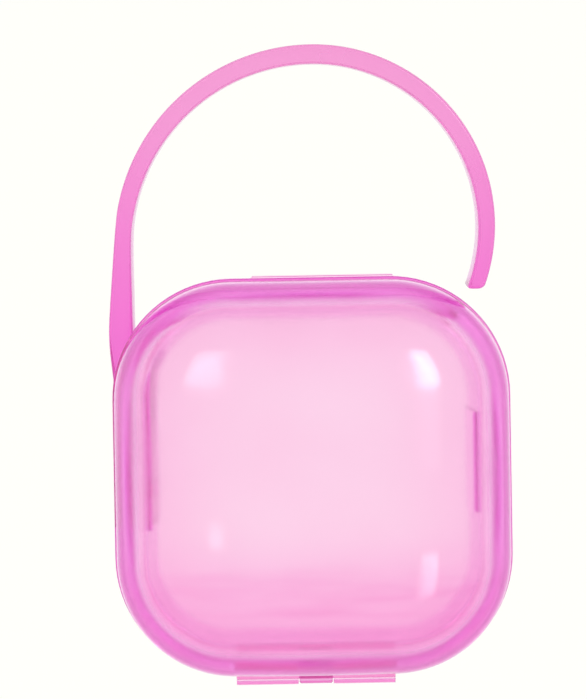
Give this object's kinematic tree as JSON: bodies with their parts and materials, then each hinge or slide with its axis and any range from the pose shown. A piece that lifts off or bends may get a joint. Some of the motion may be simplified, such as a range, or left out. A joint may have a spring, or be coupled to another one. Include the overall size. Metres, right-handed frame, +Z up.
{
  "type": "pacifier case",
  "caption": "Clear clamshell storage case for a baby's pacifier, hinged below, with a springy open hook handle to hang it from a bar or bag strap",
  "frame": {"origin": "under the middle of the closed case, on the surface that the hinge's feet stand on", "axes": "+X to the right seen from the front, +Y from the front shell to the back, +Z up towards the handle"},
  "size_m": [0.0756, 0.0532, 0.1208],
  "materials": {
    "front_shell": "polished clear pink moulding",
    "rear_shell": "polished clear pink moulding",
    "hook_handle": "denser pink, slightly cloudy, polished moulding",
    "hinge_pin": "plain pink rod"
  },
  "bodies": {
    "case_back": {"rear_shell": "rear_shell", "hook_handle": "hook_handle", "hinge_pin": "hinge_pin"},
    "lid": {"front_shell": "front_shell"}
  },
  "joints": [
    {"name": "lid_hinge", "type": "hinge", "parent": "case_back", "child": "lid", "pos_m": [0, 0, 0.0018], "axis": [1, 0, 0], "range_deg": [0, 120]}
  ]
}
